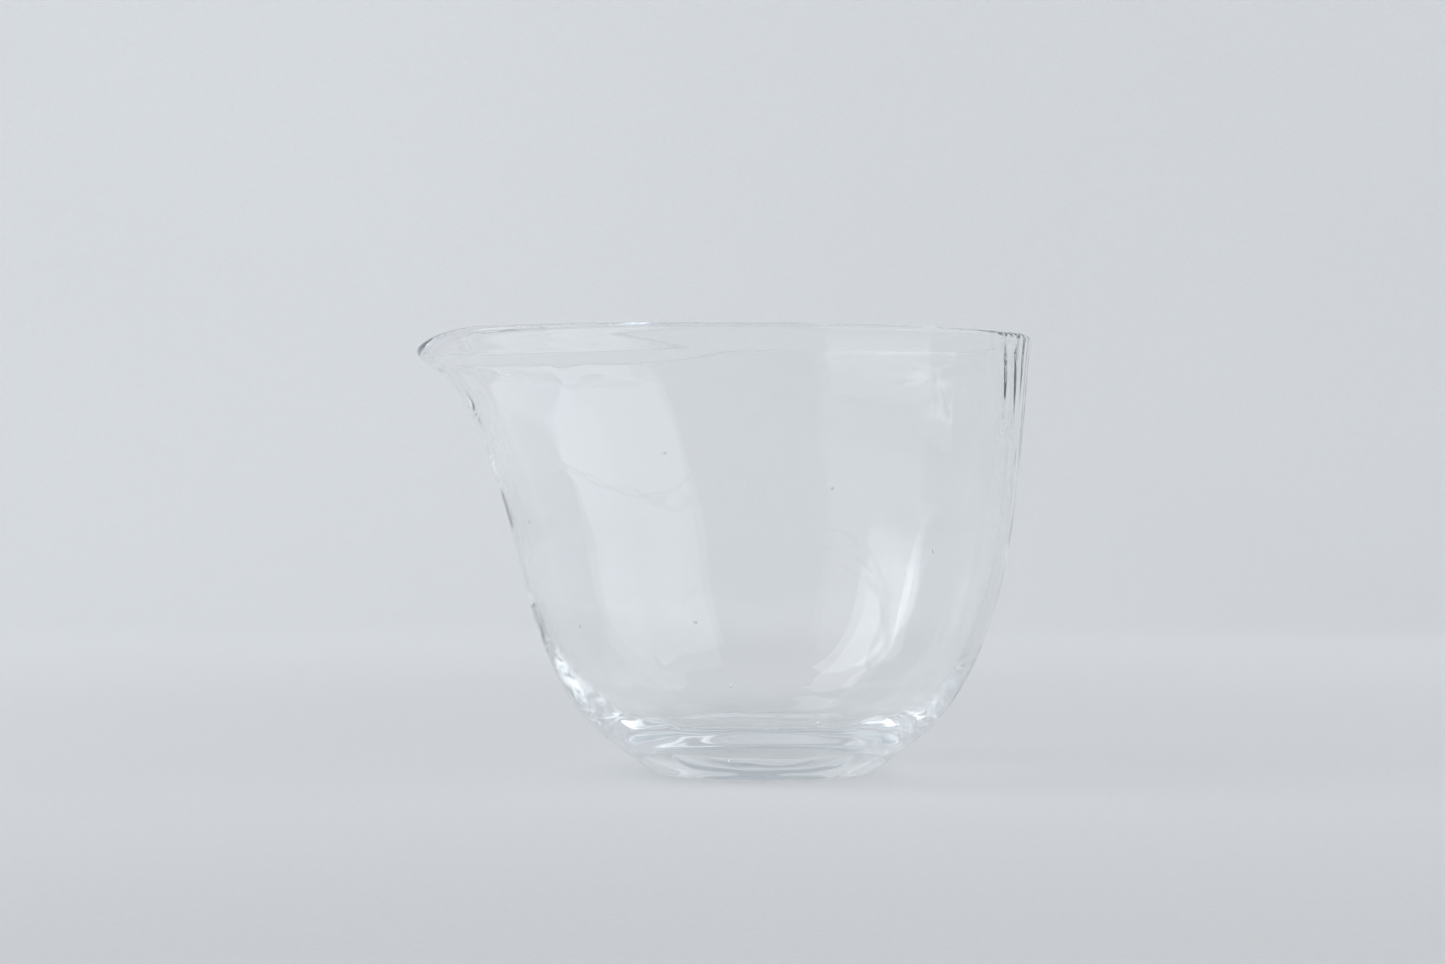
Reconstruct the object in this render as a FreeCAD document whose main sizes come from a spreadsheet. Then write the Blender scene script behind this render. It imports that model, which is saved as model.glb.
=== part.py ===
import FreeCAD, Part
import Sketcher
import os

# A small mouth-blown glass mixing bowl with a drawn-out pouring lip, in millimetres.
# +Z is up and the lip points along -X. The origin is on the bowl's round axis, in the plane that the foot
# stands on. The bowl is one piece of glass: nothing is joined to it and nothing moves.

doc = FreeCAD.newDocument("LippedBowl")
sizes = doc.addObject("Spreadsheet::Sheet", "Sizes")

# The outer skin's level sections: name, height, radius, and the lip side's reach from the axis.
# Below the shoulder they are circles, so they have no reach. From there up they are ovals, drawn out
# towards -X.
OUTER_SECTIONS = (
    ("foot", 0.0, 20.5, None),
    ("heel", 1.5, 23.0, None),
    ("sole", 4.5, 27.4, None),
    ("bottom", 9.0, 32.9, None),
    ("curve", 16.0, 38.4, None),
    ("belly", 26.0, 43.1, None),
    ("side", 38.0, 46.8, None),
    ("shoulder", 50.0, 48.9, 49.8),
    ("neck", 60.0, 50.2, 53.0),
    ("throat", 70.0, 50.6, 56.9),
    ("spread", 77.0, 51.3, 61.6),
    ("lip", 80.5, 51.9, 66.5),
    ("rim", 85.2, 52.3, 68.8),
)

# The inner skin's level sections. The wall is about 2 mm thick and thickens towards the floor. The last
# section is above the rim, so that the cavity is cut right through it.
INNER_SECTIONS = (
    ("floor", 5.6, 9.0, None),
    ("floor_edge", 6.4, 17.0, None),
    ("hollow", 9.0, 25.0, None),
    ("inner_bottom", 14.0, 32.4, None),
    ("inner_curve", 22.0, 38.4, None),
    ("inner_belly", 33.0, 43.0, None),
    ("inner_side", 46.0, 46.2, None),
    ("inner_neck", 58.0, 47.9, 50.1),
    ("inner_throat", 70.0, 48.6, 54.3),
    ("inner_spread", 77.5, 49.2, 58.6),
    ("inner_lip", 82.0, 49.7, 63.4),
    ("mouth", 86.2, 50.2, 66.6),
)

OTHER_SIZES = (
    ("kick_radius", 16.0),      # the hollow under the floor, inside the ring that the bowl stands on
    ("kick_height", 0.5),
    ("dip_start", 54.0),        # beyond this the rim falls along an arc, towards the tip of the lip
    ("dip_radius", 36.0),
    ("dip_length", 20.0),       # how far the cut that makes it runs, and how high it starts
    ("dip_clearance", 5.0),
    ("rim_round", 0.95),        # the fire-polished edge
)

ORIGIN, X_AXIS, Y_AXIS = -1, -1, -2     # Sketcher's numbers for its origin and axes,
START, END, CENTRE = 1, 2, 3            # and for the points of a line or an arc


def fill_sheet():
    """Write every driving size to the sheet, one row each, with its alias."""
    rows = []
    for name, height, radius, reach in OUTER_SECTIONS + INNER_SECTIONS:
        rows += [(name + "_height", height), (name + "_radius", radius)]
        if reach is not None:
            rows += [(name + "_reach", reach)]
    rows += OTHER_SIZES
    for row, (alias, value) in enumerate(rows, start=1):
        sizes.set("A%d" % row, alias)
        sizes.set("B%d" % row, str(value))
        sizes.setAlias("B%d" % row, alias)
    doc.recompute()


def new_sketch(body, name, role):
    """A sketch laid flat on the body's own origin plane of that role."""
    plane = [feature for feature in body.Origin.OriginFeatures if feature.Role == role][0]
    sketch = body.newObject("Sketcher::SketchObject", name)
    sketch.AttachmentSupport = [(plane, "")]
    sketch.MapMode = "FlatFace"
    return sketch


def constrain(sketch, *terms, bound_to=None):
    """Add a constraint, and where it has a size, drive that from the sheet."""
    index = sketch.addConstraint(Sketcher.Constraint(*terms))
    if bound_to:
        sketch.setExpression("Constraints[%d]" % index, bound_to)


def draw_circle(sketch, name, radius):
    """A circle about the axis."""
    circle = sketch.addGeometry(Part.Circle(FreeCAD.Vector(), FreeCAD.Vector(0, 0, 1), radius), False)
    constrain(sketch, "Coincident", circle, CENTRE, ORIGIN, START)
    constrain(sketch, "Radius", circle, radius, bound_to="Sizes.%s_radius" % name)


def draw_oval(sketch, name, radius, reach):
    """An oval that reaches furthest on the lip's side and is as wide as the round bowl."""
    centre = FreeCAD.Vector((radius - reach) / 2, 0, 0)
    oval = sketch.addGeometry(Part.Ellipse(centre, (radius + reach) / 2, radius), False)
    sketch.exposeInternalGeometry(oval)
    long_axis, short_axis = oval + 1, oval + 2
    for end in (START, END):
        constrain(sketch, "PointOnObject", long_axis, end, X_AXIS)
    constrain(sketch, "DistanceX", ORIGIN, START, long_axis, START, radius, bound_to="Sizes.%s_radius" % name)
    constrain(sketch, "DistanceX", long_axis, END, ORIGIN, START, reach, bound_to="Sizes.%s_reach" % name)
    constrain(sketch, "DistanceY", ORIGIN, START, short_axis, START, radius,
              bound_to="Sizes.%s_radius" % name)


def level_sections(body, sections):
    """One sketch for each section, each at its own height."""
    sketches = []
    for name, height, radius, reach in sections:
        sketch = new_sketch(body, name + "_section", "XY_Plane")
        sketch.setExpression("AttachmentOffset.Base.z", "Sizes.%s_height" % name)
        if reach is None:
            draw_circle(sketch, name, radius)
        else:
            draw_oval(sketch, name, radius, reach)
        sketches.append(sketch)
    return sketches


def add_loft(body, kind, name, sections):
    """A smooth loft through the sections, added to the body or cut from it."""
    sketches = level_sections(body, sections)
    loft = body.newObject(kind, name)
    loft.Profile = sketches[0]
    loft.Sections = sketches[1:]
    loft.Ruled = False
    doc.recompute()
    return loft


def cut_kick(body):
    """Turn the shallow hollow under the floor, which leaves a flat ring for the bowl to stand on."""
    radius, height = sizes.kick_radius, sizes.kick_height
    rim, top, axis_foot = (FreeCAD.Vector(*point) for point in ((radius, 0), (0, height), (0, 0)))
    arc_radius = (radius ** 2 + height ** 2) / (2 * height)
    sketch = new_sketch(body, "kick_section", "XZ_Plane")
    arc_circle = Part.Circle(FreeCAD.Vector(0, height - arc_radius, 0), FreeCAD.Vector(0, 0, 1), arc_radius)
    arc_ends = arc_circle.parameter(rim), arc_circle.parameter(top)
    arc = sketch.addGeometry(Part.ArcOfCircle(arc_circle, *arc_ends), False)
    up = sketch.addGeometry(Part.LineSegment(top, axis_foot), False)
    out = sketch.addGeometry(Part.LineSegment(axis_foot, rim), False)
    constrain(sketch, "Coincident", arc, END, up, START)
    constrain(sketch, "Coincident", up, END, out, START)
    constrain(sketch, "Coincident", out, END, arc, START)
    constrain(sketch, "Coincident", up, END, ORIGIN, START)
    constrain(sketch, "PointOnObject", up, START, Y_AXIS)
    constrain(sketch, "PointOnObject", out, END, X_AXIS)
    constrain(sketch, "PointOnObject", arc, CENTRE, Y_AXIS)
    constrain(sketch, "DistanceX", out, START, out, END, radius, bound_to="Sizes.kick_radius")
    constrain(sketch, "DistanceY", up, END, up, START, height, bound_to="Sizes.kick_height")
    groove = body.newObject("PartDesign::Groove", "kick")
    groove.Profile = sketch
    groove.ReferenceAxis = (sketch, ["V_Axis"])
    groove.Angle = 360
    doc.recompute()
    return groove


def cut_dip(body):
    """Lower the rim along an arc towards the tip of the lip, right across the bowl."""
    start, radius, length = sizes.dip_start, sizes.dip_radius, sizes.dip_length
    height, clearance = sizes.rim_height, sizes.dip_clearance
    fall = radius - (radius ** 2 - length ** 2) ** 0.5
    near = FreeCAD.Vector(-start, height)
    far = FreeCAD.Vector(-start - length, height - fall)
    far_top = FreeCAD.Vector(far.x, height + clearance)
    near_top = FreeCAD.Vector(near.x, height + clearance)
    circle = Part.Circle(FreeCAD.Vector(-start, height - radius, 0), FreeCAD.Vector(0, 0, 1), radius)
    sketch = new_sketch(body, "dip_section", "XZ_Plane")
    arc = sketch.addGeometry(Part.ArcOfCircle(circle, circle.parameter(near), circle.parameter(far)), False)
    outer_side = sketch.addGeometry(Part.LineSegment(far, far_top), False)
    top_side = sketch.addGeometry(Part.LineSegment(far_top, near_top), False)
    inner_side = sketch.addGeometry(Part.LineSegment(near_top, near), False)
    loop = (arc, outer_side, top_side, inner_side)
    for line, following in zip(loop, loop[1:] + loop[:1]):
        constrain(sketch, "Coincident", line, END, following, START)
    constrain(sketch, "Vertical", outer_side)
    constrain(sketch, "Horizontal", top_side)
    constrain(sketch, "Vertical", inner_side)
    constrain(sketch, "Vertical", arc, CENTRE, arc, START)
    constrain(sketch, "DistanceX", arc, START, ORIGIN, START, start, bound_to="Sizes.dip_start")
    constrain(sketch, "DistanceY", ORIGIN, START, arc, START, height, bound_to="Sizes.rim_height")
    constrain(sketch, "Radius", arc, radius, bound_to="Sizes.dip_radius")
    constrain(sketch, "DistanceX", outer_side, END, inner_side, START, length, bound_to="Sizes.dip_length")
    constrain(sketch, "DistanceY", inner_side, END, inner_side, START, clearance,
              bound_to="Sizes.dip_clearance")
    pocket = body.newObject("PartDesign::Pocket", "dip")
    pocket.Profile = sketch
    pocket.Type = "ThroughAll"
    pocket.Midplane = True
    doc.recompute()
    return pocket


def round_rim(body, base):
    """Round the outer and the inner edge of the rim, all the way round."""
    below_rim = sizes.rim_height - sizes.dip_clearance
    across_rim = 5.0            # the short edges that cross the rim are under this length
    edges = ["Edge%d" % number for number, edge in enumerate(base.Shape.Edges, start=1)
             if edge.BoundBox.ZMin > below_rim and edge.Length > across_rim]
    fillet = body.newObject("PartDesign::Fillet", "fire_polish")
    fillet.Base = (base, edges)
    fillet.setExpression("Radius", "Sizes.rim_round")
    doc.recompute()
    return fillet


def make_bowl():
    """The whole bowl, in the order that it takes shape. Each cut has to take glass away."""
    body = doc.addObject("PartDesign::Body", "bowl")
    body.Label = "bowl"
    stages = [add_loft(body, "PartDesign::AdditiveLoft", "outer_skin", OUTER_SECTIONS)]
    stages.append(add_loft(body, "PartDesign::SubtractiveLoft", "inner_skin", INNER_SECTIONS))
    stages.append(cut_kick(body))
    stages.append(cut_dip(body))
    stages.append(round_rim(body, stages[-1]))
    for before, after in zip(stages, stages[1:]):
        if after.Shape.Volume >= before.Shape.Volume:
            raise RuntimeError(after.Name + " took nothing away")
    return body


def check_document(parts):
    """Stop if any object failed, any sketch is loose or any part is not one sound solid."""
    for thing in doc.Objects:
        if "Invalid" in thing.State or "Error" in thing.State:
            raise RuntimeError("%s failed: %s" % (thing.Name, thing.State))
        if thing.TypeId == "Sketcher::SketchObject" and thing.DoF:
            raise RuntimeError(thing.Name + " is not fully constrained")
    for part in parts:
        if part.Shape.isNull() or not part.Shape.isValid() or len(part.Shape.Solids) != 1:
            raise RuntimeError(part.Label + " is not one sound solid")


fill_sheet()
parts = [make_bowl()]
doc.recompute()
check_document(parts)
os.makedirs("parts", exist_ok=True)
for part in parts:
    part.Shape.exportStep("parts/%s.step" % part.Label)
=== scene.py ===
import math

import bpy
import numpy as np
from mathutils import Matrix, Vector, noise


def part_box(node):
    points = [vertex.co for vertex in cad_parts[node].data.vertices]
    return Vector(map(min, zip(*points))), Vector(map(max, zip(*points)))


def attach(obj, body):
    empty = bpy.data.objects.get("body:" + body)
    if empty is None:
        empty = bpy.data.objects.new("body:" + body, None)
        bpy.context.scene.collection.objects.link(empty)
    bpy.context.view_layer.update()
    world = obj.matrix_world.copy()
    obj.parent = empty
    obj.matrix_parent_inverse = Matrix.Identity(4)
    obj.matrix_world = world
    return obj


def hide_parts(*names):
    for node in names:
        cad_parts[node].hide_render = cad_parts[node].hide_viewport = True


# A small bowl of clear blown glass with a drawn-out pouring lip, on a pale floor in soft studio light.
# Shapes are worked out in millimetres in the CAD model's frame and turned into metres as meshes are made.

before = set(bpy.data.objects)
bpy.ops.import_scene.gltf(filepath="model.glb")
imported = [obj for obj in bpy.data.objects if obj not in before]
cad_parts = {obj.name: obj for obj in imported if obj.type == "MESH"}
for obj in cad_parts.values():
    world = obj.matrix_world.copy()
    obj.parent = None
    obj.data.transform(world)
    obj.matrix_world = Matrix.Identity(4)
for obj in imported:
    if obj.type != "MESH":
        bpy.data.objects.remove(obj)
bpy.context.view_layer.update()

MM = 0.001
LOW, HIGH = (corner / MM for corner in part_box("bowl"))
MARGIN = 0.12                                   # what the ripples may add, kept inside the CAD box
RIM_HEIGHT = HIGH[2] - 3.5 * MARGIN
BACK_RADIUS = HIGH[0] - MARGIN
LIP_REACH = -LOW[0] + 0.5                       # before its end is rounded off

# The two skins as level sections: height, radius, and reach towards the lip. All in millimetres.
OUTER_SKIN = (
    (0.0, 20.5, 20.5), (1.2, 22.9, 22.9), (4.5, 27.4, 27.4), (9.0, 32.9, 32.9), (16.0, 38.4, 38.4),
    (26.0, 43.1, 43.1), (38.0, 46.8, 46.8), (50.0, 48.9, 49.8), (60.0, 50.0, 53.0), (70.0, 50.8, 56.9),
    (77.0, 51.3, 61.7), (80.5, 51.6, 66.6), (RIM_HEIGHT, BACK_RADIUS, LIP_REACH),
)
INNER_SKIN = (
    (5.6, 0.0, 0.0), (5.7, 9.0, 9.0), (6.5, 17.0, 17.0), (8.8, 25.0, 25.0), (13.6, 32.4, 32.4),
    (22.0, 38.6, 38.6), (33.0, 43.0, 43.0), (46.0, 46.2, 46.2), (58.0, 47.7, 50.1), (70.0, 48.7, 54.3),
    (77.5, 49.2, 58.6), (82.0, 49.6, 63.4), (RIM_HEIGHT + 1.0, BACK_RADIUS - 2.1, LIP_REACH - 2.4),
)
KICK_RADIUS, KICK_HEIGHT = 16.0, 0.5            # the hollow inside the ring that the bowl stands on
FOOT_RADII = (17.5, 19.5)                       # of the rings of points on the flat of the foot
DIP_START, DIP_RADIUS = 54.0, 36.0              # the rim falls along this arc towards the tip of the lip
RIM_ROUND = 1.05                                # the rim is rounded from this far below its top
RIM_FULLNESS = 0.64                             # length of the rounding's handles, in wall widths

# Bubbles caught in the wall: the angle round the bowl in degrees, the height and the radius.
SEEDS = ((253, 30.7, 0.28), (260.5, 18.9, 0.22), (287, 12.0, 0.34), (255, 4.2, 0.26), (285, 55.0, 0.24),
         (38, 41.0, 0.25), (112, 63.0, 0.22), (156, 27.0, 0.30), (205, 49.0, 0.22))
SEED_STRETCH = 1.6                              # a bubble's height over its width, drawn out by the wall

# The stage, in metres.
FLOOR = -0.00015                                # a hair below the foot, so that light gets between them
LAYERS, LAYER_STEP, LAYER_GAP = 3, 0.05, 0.01   # of each curtain of light
LAMP_COLOR = (0.94, 0.97, 1.0)
SKY_COLOR, SKY_STRENGTH = (0.93, 0.965, 1.0, 1), 0.62
LENS, SENSOR_WIDTH = 85, 36                     # of the camera, in millimetres
CAMERA_PLACE = (-0.0079, -0.666, 0.0494)
CAMERA_TILT = 90.62                             # degrees up from looking straight down

# Mesh divisions.
AROUND = 512
SKIN_SAMPLES = 2000
OUTER_RINGS, INNER_RINGS, RIM_RINGS, KICK_RINGS = 84, 74, 14, 10


def through(points, t):
    """A smooth curve through the points, at t counted in points."""
    points = np.asarray(points, float)
    last = len(points) - 1
    t = np.clip(np.asarray(t, float), 0, last)
    i = np.minimum(t.astype(int), last - 1)
    f = (t - i)[..., None]
    before, here, there, after = (points[np.clip(i + k, 0, last)] for k in (-1, 0, 1, 2))
    return 0.5 * (2 * here + (there - before) * f + (2 * before - 5 * here + 4 * there - after) * f ** 2
                  + (3 * here - before - 3 * there + after) * f ** 3)


def oval(section, angle):
    """The point at that angle on each section, which is an oval drawn out towards -X."""
    height, radius, reach = section[..., 0], section[..., 1], section[..., 2]
    x = (radius - reach) / 2 + (radius + reach) / 2 * np.cos(angle)
    return np.stack([x, radius * np.sin(angle), height], axis=-1)


def rim_height(angle):
    rim = np.broadcast_to(np.asarray(OUTER_SKIN[-1], float), angle.shape + (3,))
    beyond = np.maximum(-oval(rim, angle)[..., 0] - DIP_START, 0)
    return RIM_HEIGHT - (DIP_RADIUS - np.sqrt(DIP_RADIUS ** 2 - beyond ** 2))


def skin_end(skin, height):
    """Where along the skin, counted in sections, it reaches that height."""
    t = np.linspace(0, len(skin) - 1, SKIN_SAMPLES)
    return np.interp(height, through(skin, t)[:, 0], t)


def unit(vectors):
    return vectors / np.linalg.norm(vectors, axis=-1, keepdims=True)


def bowl_rings():
    """The closed skin as rings of points, from the hollow underneath, over the rim, to the floor inside."""
    angle = np.linspace(0, 2 * math.pi, AROUND, endpoint=False)
    top = rim_height(angle)
    outer_end = skin_end(OUTER_SKIN, top - RIM_ROUND)
    inner_end = skin_end(INNER_SKIN, top - RIM_ROUND * 0.95)
    rings = []
    for radius in np.linspace(0, KICK_RADIUS, KICK_RINGS + 1)[1:]:
        height = KICK_HEIGHT * (1 - (radius / KICK_RADIUS) ** 2)
        rings.append(oval(np.broadcast_to([height, radius, radius], (AROUND, 3)), angle))
    for radius in FOOT_RADII:
        rings.append(oval(np.broadcast_to([0.0, radius, radius], (AROUND, 3)), angle))
    for v in np.linspace(0, 1, OUTER_RINGS):
        rings.append(oval(through(OUTER_SKIN, outer_end * v), angle))
    inner = [oval(through(INNER_SKIN, inner_end * v), angle) for v in np.linspace(0, 1, INNER_RINGS + 1)[1:]]
    start, end = rings[-1], inner[-1]
    width = np.linalg.norm(start - end, axis=1, keepdims=True)
    rise = start + unit(start - rings[-2]) * width * RIM_FULLNESS
    fall = end + unit(end - inner[-2]) * width * RIM_FULLNESS
    for s in np.linspace(0, 1, RIM_RINGS + 2)[1:-1]:
        rings.append((1 - s) ** 3 * start + 3 * (1 - s) ** 2 * s * rise
                     + 3 * (1 - s) * s ** 2 * fall + s ** 3 * end)
    return np.array(rings + inner[::-1])


def ring_faces(count):
    """Quads between the rings, and a fan to the last two points, which close the bottom and the floor."""
    here = np.arange(AROUND)
    there = (here + 1) % AROUND
    faces = []
    for k in range(count - 1):
        low, high = k * AROUND, (k + 1) * AROUND
        faces += np.stack([low + here, low + there, high + there, high + here], 1).tolist()
    bottom, floor, last = count * AROUND, count * AROUND + 1, (count - 1) * AROUND
    faces += np.stack([np.full(AROUND, bottom), there, here], 1).tolist()
    faces += np.stack([np.full(AROUND, floor), last + here, last + there], 1).tolist()
    return faces


def waves(point, across, up, shift):
    """Smooth noise between -1 and 1, with bumps about that many millimetres across and up."""
    x, y, z = point
    return noise.noise(Vector((x / across + shift[0], y / across + shift[1], z / up + shift[2])))


def ripple(point, inner):
    """How far blowing and turning moved the glass here, in millimetres."""
    x, y, z = point
    skin = 40.0 if inner else 0.0               # far enough apart for each skin to ripple on its own
    broad = waves(point, 26, 34, (skin, 0, 0))
    streaks = waves(point, 7.5, 26, (skin, 9, 0))
    dimples = waves(point, 5, 7, (skin, 5, 3))
    ridges = waves(point, 3.0, 15, (skin, -7, 0))
    low_down = math.exp(-((z - 9) / 8) ** 2)
    high_up = min(max((z - 45) / 15, 0), 1)
    back = math.exp(-(math.atan2(y, x) / 0.6) ** 2) * high_up
    cheek = math.exp(-((x + 37) / 7) ** 2 - ((z - 70) / 9) ** 2)
    depth = 0.012 + 0.015 * low_down + 0.03 * back + 0.10 * cheek
    return 0.17 * broad + (0.06 + 0.12 * back) * streaks + 0.11 * back * ridges + depth * dimples


def wall_middle(angle, height):
    """The point halfway through the wall at that angle and height, or just under the skin in the heel."""
    outer = oval(through(OUTER_SKIN, skin_end(OUTER_SKIN, height)), angle)
    if height < INNER_SKIN[1][0]:
        return outer * [0.955, 0.955, 1.0]
    return (outer + oval(through(INNER_SKIN, skin_end(INNER_SKIN, height)), angle)) / 2


def seed_shell(angle, height, radius, first):
    """One bubble: a small closed shell inside the glass, facing inwards, drawn out along the wall."""
    across, up = 12, 7
    middle = wall_middle(math.radians(angle), height)
    points = [middle + [0, 0, -SEED_STRETCH * radius]]
    for k in range(1, up):
        tilt = math.pi * k / up
        for i in range(across):
            turn = 2 * math.pi * i / across
            ring = math.sin(tilt)
            way = [ring * math.cos(turn), ring * math.sin(turn), -SEED_STRETCH * math.cos(tilt)]
            points.append(middle + radius * np.array(way))
    points.append(middle + [0, 0, SEED_STRETCH * radius])
    top, last = first + len(points) - 1, first + 1 + (up - 2) * across
    faces = []
    for i in range(across):
        j = (i + 1) % across
        faces += [(first, first + 1 + i, first + 1 + j), (top, last + j, last + i)]
        for k in range(up - 2):
            low = first + 1 + k * across
            faces.append((low + i, low + across + i, low + across + j, low + j))
    return points, faces


def build_bowl():
    rings = bowl_rings()
    count = len(rings)
    points = np.vstack([rings.reshape(-1, 3), [[0, 0, KICK_HEIGHT]], [[0, 0, INNER_SKIN[0][0]]]])
    faces = ring_faces(count)
    skin_points = len(points)
    for seed in SEEDS:
        seed_points, seed_faces = seed_shell(*seed, len(points))
        points = np.vstack([points, seed_points])
        faces += seed_faces
    mesh = bpy.data.meshes.new("glass_bowl")
    mesh.from_pydata(points.tolist(), [], faces)
    normals = np.zeros(len(points) * 3, np.float32)
    mesh.vertices.foreach_get("normal", normals)
    normals = normals.reshape(-1, 3)
    foot_points = (KICK_RINGS + len(FOOT_RADII)) * AROUND
    first_inner = foot_points + (OUTER_RINGS + RIM_RINGS // 2) * AROUND
    bottom = skin_points - 2
    for i in range(foot_points, skin_points):
        if i == bottom:
            continue
        point, inner = points[i], i >= first_inner
        calm = min(max(point[2] - 0.3, 0) / 3, 1)   # the ripples fade out just above the foot
        points[i] += normals[i] * ripple(point, inner) * calm
    mesh.vertices.foreach_set("co", (points * MM).ravel())
    mesh.polygons.foreach_set("use_smooth", [True] * len(mesh.polygons))
    mesh.update()
    obj = bpy.data.objects.new("glass_bowl", mesh)
    bpy.context.collection.objects.link(obj)
    return obj


def new_material(name):
    material = bpy.data.materials.new(name)
    material.use_nodes = True
    return material, material.node_tree.nodes, material.node_tree.links


def spread(nodes, links, value, start, end, low, high):
    """The value eased from low, where it is at start, to high, where it is at end."""
    node = nodes.new("ShaderNodeMapRange")
    node.interpolation_type = "SMOOTHSTEP"
    for name, number in (("From Min", start), ("From Max", end), ("To Min", low), ("To Max", high)):
        node.inputs[name].default_value = number
    links.new(value, node.inputs["Value"])
    return node.outputs["Result"]


def clouds(nodes, links, place, scale, detail):
    texture = nodes.new("ShaderNodeTexNoise")
    texture.inputs["Scale"].default_value = scale
    texture.inputs["Detail"].default_value = detail
    links.new(place, texture.inputs["Vector"])
    return texture.outputs["Fac"]


def combine(nodes, links, operation, a, b):
    node = nodes.new("ShaderNodeMath")
    node.operation = operation
    links.new(a, node.inputs[0])
    links.new(b, node.inputs[1])
    return node.outputs[0]


def blend(nodes, links, factor, first, second):
    node = nodes.new("ShaderNodeMix")
    node.data_type = "RGBA"
    node.inputs["A"].default_value = first
    node.inputs["B"].default_value = second
    links.new(factor, node.inputs["Factor"])
    return node.outputs["Result"]


def glass():
    """Clear soda-lime glass: a breath of colour in its thickness, faint smears, and a foot worn by use."""
    material, nodes, links = new_material("glass")
    shader = nodes["Principled BSDF"]
    place = nodes.new("ShaderNodeTexCoord").outputs["Object"]
    split = nodes.new("ShaderNodeSeparateXYZ")
    links.new(place, split.inputs[0])
    smears = spread(nodes, links, clouds(nodes, links, place, 55.0, 4.0), 0.55, 0.8, 0.0, 0.02)
    wear = spread(nodes, links, split.outputs["Z"], 0.0001, 0.0004, 0.06, 0.0)
    links.new(combine(nodes, links, "MAXIMUM", smears, wear), shader.inputs["Roughness"])
    tone = spread(nodes, links, clouds(nodes, links, place, 30.0, 2.0), 0.3, 0.7, 0.0, 1.0)
    color = blend(nodes, links, tone, (0.988, 0.994, 1.0, 1), (1.0, 1.0, 1.0, 1))
    links.new(color, shader.inputs["Base Color"])
    shader.inputs["IOR"].default_value = 1.5
    shader.inputs["Transmission Weight"].default_value = 1.0
    volume = nodes.new("ShaderNodeVolumeAbsorption")
    volume.inputs["Color"].default_value = (0.36, 0.48, 0.56, 1)
    volume.inputs["Density"].default_value = 2.5
    links.new(volume.outputs[0], nodes["Material Output"].inputs["Volume"])
    return material


def plaster():
    """Pale matt plaster with fine grain and faint clouds, and painted shade that darkens it towards -Y, +X
    and the middle.
    """
    material, nodes, links = new_material("plaster")
    shader = nodes["Principled BSDF"]
    shader.inputs["Roughness"].default_value = 0.9
    place = nodes.new("ShaderNodeTexCoord").outputs["Object"]
    split = nodes.new("ShaderNodeSeparateXYZ")
    links.new(place, split.inputs[0])

    grain = spread(nodes, links, clouds(nodes, links, place, 900.0, 3.0), 0.25, 0.75, 0.96, 1.0)
    cloud = spread(nodes, links, clouds(nodes, links, place, 3.0, 2.0), 0.25, 0.75, 0.985, 1.0)
    # Painted shade: the floor darkens towards the camera, towards -Y.
    fade = spread(nodes, links, split.outputs["Y"], -0.34, -0.04, 0.88, 1.0)
    # Painted light from the left: the plaster darkens towards +X.
    painted_side_light = spread(nodes, links, split.outputs["X"], -0.5, 0.5, 1.0, 0.935)
    # Painted shade: the plaster darkens towards the middle, round the bowl.
    length = nodes.new("ShaderNodeVectorMath")
    length.operation = "LENGTH"
    links.new(place, length.inputs[0])
    middle = spread(nodes, links, length.outputs["Value"], 0.1, 0.85, 0.78, 1.0)
    # Grain and clouds, times the painted shade and the painted side light.
    tone = grain
    for layer in (cloud, fade, painted_side_light, middle):
        tone = combine(nodes, links, "MULTIPLY", tone, layer)
    color = blend(nodes, links, tone, (0, 0, 0, 1), (0.945, 0.95, 0.955, 1))
    links.new(color, shader.inputs["Base Color"])
    bump = nodes.new("ShaderNodeBump")
    bump.inputs["Strength"].default_value = 0.25
    bump.inputs["Distance"].default_value = 0.0002
    links.new(grain, bump.inputs["Height"])
    links.new(bump.outputs["Normal"], shader.inputs["Normal"])
    return material


def build_stage():
    """A floor that curves up into a wall all round, far enough out to leave room for the camera."""
    flat, bend, height, around, steps = 0.9, 0.5, 1.3, 96, 16
    profile = [(radius, FLOOR) for radius in (0.0, 0.15, 0.4, flat)]
    for k in range(1, steps + 1):
        a = math.pi / 2 * k / steps
        profile.append((flat + bend * math.sin(a), FLOOR + bend * (1 - math.cos(a))))
    profile.append((flat + bend, height))
    verts = [(0, 0, FLOOR)]
    for r, z in profile[1:]:
        for i in range(around):
            a = 2 * math.pi * i / around
            verts.append((r * math.cos(a), r * math.sin(a), z))
    faces = [(0, 1 + i, 1 + (i + 1) % around) for i in range(around)]
    for k in range(len(profile) - 2):
        for i in range(around):
            j = (i + 1) % around
            a, b = 1 + k * around, 1 + (k + 1) * around
            faces.append((a + i, b + i, b + j, a + j))
    mesh = bpy.data.meshes.new("stage")
    mesh.from_pydata(verts, [], faces)
    mesh.polygons.foreach_set("use_smooth", [True] * len(faces))
    obj = bpy.data.objects.new("stage", mesh)
    bpy.context.collection.objects.link(obj)
    mesh.materials.append(plaster())
    return obj


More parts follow.
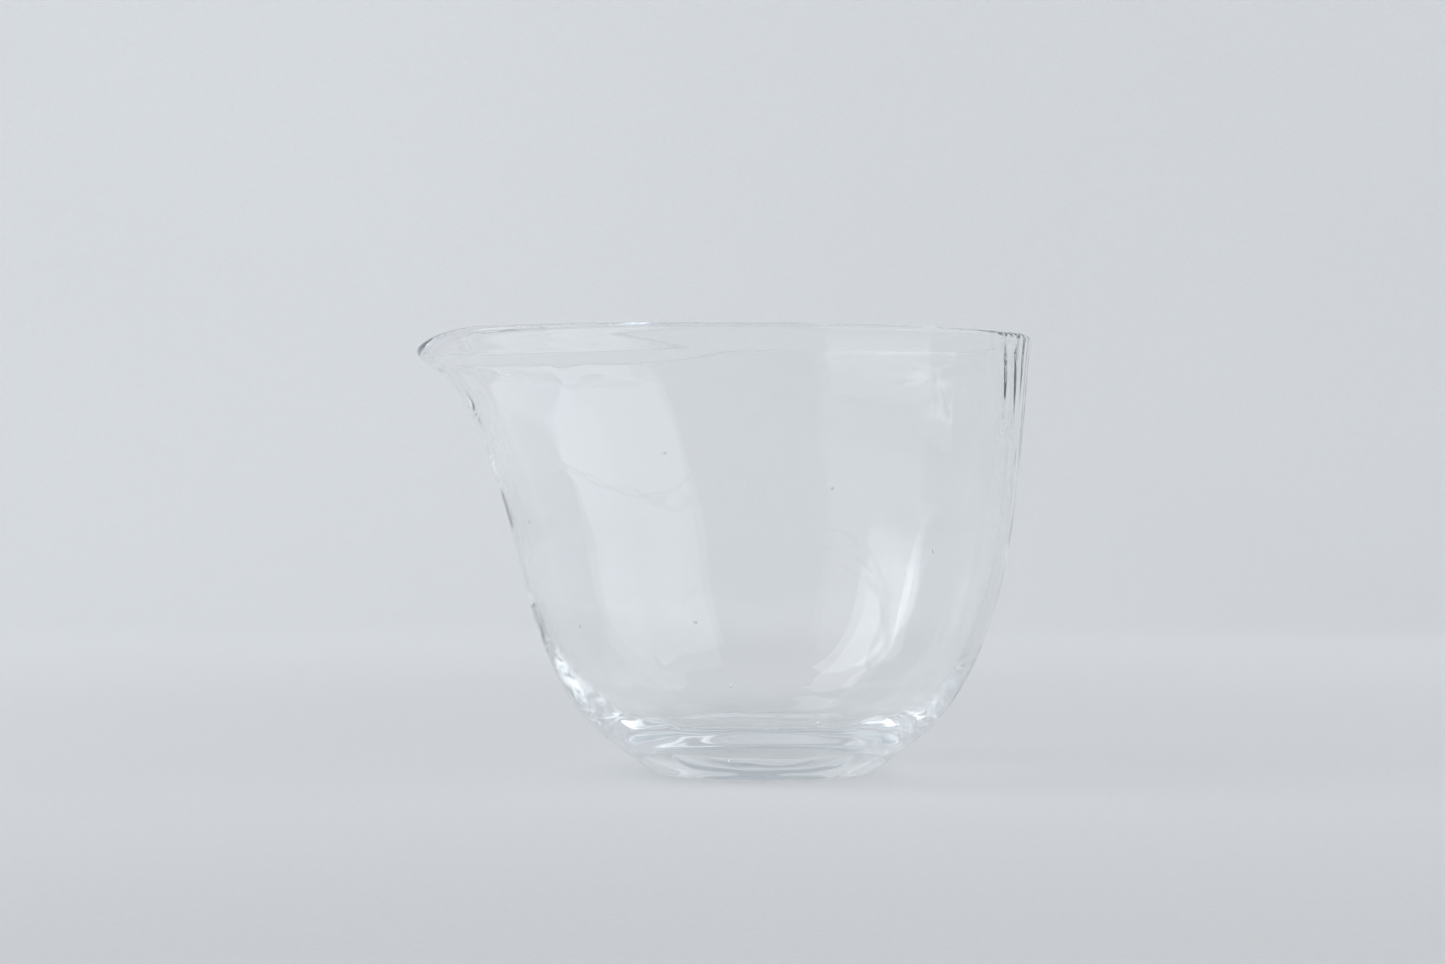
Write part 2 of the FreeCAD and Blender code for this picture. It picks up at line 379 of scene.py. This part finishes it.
def lamp(name, azimuths, heights, distance, radiance):
    """An upright curtain of light facing the bowl, between those azimuths in degrees and heights in metres.

    It is made of layers whose lower edges lie one above the other, so that the whole ends softly below."""
    middle = math.radians(sum(azimuths) / 2)
    away = Vector((math.cos(middle), math.sin(middle), 0))
    for layer in range(LAYERS):
        low = heights[0] + (layer + 0.5 - LAYERS / 2) * LAYER_STEP
        data = bpy.data.lights.new("%s_%d" % (name, layer), "AREA")
        data.shape = "RECTANGLE"
        data.size = 2 * distance * math.tan(math.radians(azimuths[1] - azimuths[0]) / 2)
        data.size_y = heights[1] - low
        data.energy = radiance / LAYERS * math.pi * data.size * data.size_y
        data.color = LAMP_COLOR
        obj = bpy.data.objects.new(data.name, data)
        obj.location = away * (distance + layer * LAYER_GAP) + Vector((0, 0, (low + heights[1]) / 2))
        obj.rotation_euler = (-away).to_track_quat("-Z", "Y").to_euler()
        obj.visible_camera = False
        bpy.context.collection.objects.link(obj)


def light_stage():
    world = bpy.data.worlds.new("world")
    world.use_nodes = True
    bpy.context.scene.world = world
    sky = world.node_tree.nodes["Background"]
    sky.inputs["Color"].default_value = SKY_COLOR
    sky.inputs["Strength"].default_value = SKY_STRENGTH
    lamp("window", (171, 181), (0.24, 1.1), 0.80, 1.9)
    lamp("window_top", (176, 211), (0.33, 2.1), 0.83, 1.6)
    lamp("left_side", (182, 236), (0.12, 1.2), 0.88, 0.40)
    lamp("right_side", (302, 345), (0.12, 1.2), 0.85, 0.90)
    lamp("right_curtain", (345, 374), (0.26, 1.2), 0.85, 1.1)
    lamp("right_back", (374, 425), (0.45, 1.2), 0.85, 0.45)


def place_camera():
    data = bpy.data.cameras.new("camera")
    data.lens = LENS
    data.sensor_width = SENSOR_WIDTH
    camera = bpy.data.objects.new("camera", data)
    camera.location = CAMERA_PLACE
    camera.rotation_euler = (math.radians(CAMERA_TILT), 0, 0)
    bpy.context.collection.objects.link(camera)
    bpy.context.scene.camera = camera
    bpy.context.scene.view_settings.view_transform = "Standard"


def lengthen_light_paths():
    """Light meets many surfaces of the glass in the rim and the base, so its paths are long."""
    cycles = bpy.context.scene.cycles
    cycles.max_bounces = 160
    cycles.blur_glossy = 0.0
    cycles.transmission_bounces = 128
    cycles.glossy_bounces = 128
    cycles.diffuse_bounces = 6


bowl = build_bowl()
bowl.data.materials.append(glass())
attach(bowl, "root")
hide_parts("bowl")

build_stage()
light_stage()
place_camera()
lengthen_light_paths()
